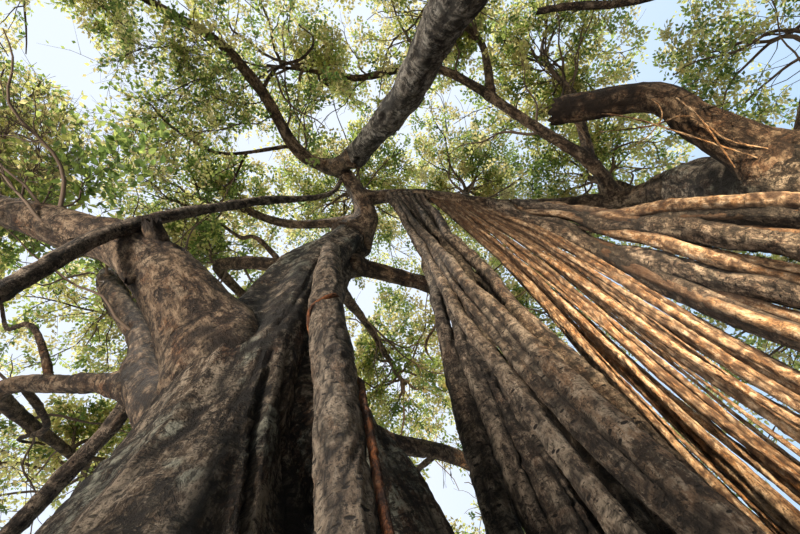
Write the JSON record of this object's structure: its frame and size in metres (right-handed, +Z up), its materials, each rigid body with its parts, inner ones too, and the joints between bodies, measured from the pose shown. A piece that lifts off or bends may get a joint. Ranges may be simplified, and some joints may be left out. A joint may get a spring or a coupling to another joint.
{
  "type": "banyan tree",
  "caption": "Broad banyan tree: fluted trunk, a second trunk of fused roots, bundles of prop roots and a wide domed crown.",
  "frame": {"origin": "centre of the main trunk's foot, on the flat cut at ground level", "axes": "+Z up; +X from the main trunk towards the second trunk of fused roots; +Y towards the side of the curtain of thin roots"},
  "size_m": [21.3929, 21.2416, 13.6792],
  "materials": {
    "trunk_bark": "rough grey-brown bark with dark wrinkles and pale grey-green lichen",
    "bough_bark": "grey-brown bark with curved wrinkles",
    "root_bark": "smoother tan and grey root bark with rings and pores",
    "twining_root_bark": "reddish-brown young root bark",
    "foliage": "leaves from dark green to yellow-green and ochre on thin brown twigs"
  },
  "bodies": {
    "root": {"trunk": "trunk_bark", "east_trunk": "trunk_bark", "leader_bough": "bough_bark", "bridge_bough": "bough_bark", "broken_bough": "bough_bark", "arching_bough": "bough_bark", "west_bough": "bough_bark", "west_high_bough": "bough_bark", "north_west_bough": "bough_bark", "north_bough": "bough_bark", "north_east_bough": "bough_bark", "east_bough": "bough_bark", "south_east_bough": "bough_bark", "low_south_bough": "bough_bark", "south_bough": "bough_bark", "south_west_bough": "bough_bark", "upper_west_bough": "bough_bark", "rear_west_bough": "bough_bark", "rear_north_bough": "bough_bark", "rear_east_bough": "bough_bark", "inner_east_bough": "bough_bark", "inner_south_east_bough": "bough_bark", "inner_south_bough": "bough_bark", "top_west_bough": "bough_bark", "top_east_bough": "bough_bark", "south_pillar": "root_bark", "front_prop_root": "root_bark", "north_west_prop_root": "root_bark", "west_slanting_root": "root_bark", "prop_root_cluster": "root_bark", "crossing_roots": "root_bark", "curtain_roots_low": "root_bark", "curtain_roots_high": "root_bark", "great_roots": "root_bark", "far_roots": "root_bark", "twining_root": "twining_root_bark", "foliage_outer_1": "foliage", "foliage_outer_2": "foliage", "foliage_outer_3": "foliage", "foliage_outer_4": "foliage", "foliage_outer_5": "foliage", "foliage_outer_6": "foliage", "foliage_outer_7": "foliage", "foliage_outer_8": "foliage", "foliage_outer_9": "foliage", "foliage_inner_1": "foliage", "foliage_inner_2": "foliage", "foliage_inner_3": "foliage", "foliage_inner_4": "foliage", "foliage_inner_5": "foliage", "foliage_inner_6": "foliage", "foliage_inner_7": "foliage", "foliage_inner_8": "foliage", "foliage_top_1": "foliage", "foliage_top_2": "foliage", "foliage_west_high": "foliage"}
  },
  "joints": []
}
